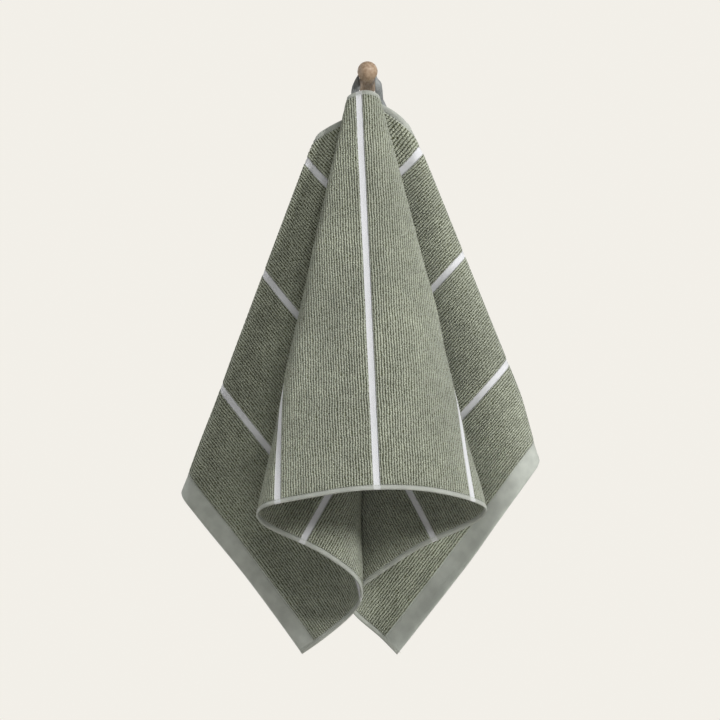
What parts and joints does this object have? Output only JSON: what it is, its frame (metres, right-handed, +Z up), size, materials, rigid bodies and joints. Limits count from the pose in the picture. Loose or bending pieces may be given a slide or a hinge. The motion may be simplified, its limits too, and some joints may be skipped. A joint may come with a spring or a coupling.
{
  "type": "towel on a wall peg",
  "caption": "Ribbed striped terry hand towel hung by a tape loop at the middle of a long side on a turned wooden wall peg, draped in deep uneven folds.",
  "frame": {"origin": "centre of the peg's end face, on the plane of the wall", "axes": "+Z up, +Y into the wall, +X to the right seen from the front"},
  "size_m": [0.4445, 0.2239, 0.7303],
  "materials": {
    "terry": "ribbed cotton terry, sage green with flat white stripes",
    "tape": "plain woven cotton tape",
    "peg_wood": "turned wood, thin satin oil"
  },
  "bodies": {
    "root": {"towel": "terry", "hanging_loop": "tape", "peg": "peg_wood"}
  },
  "joints": []
}
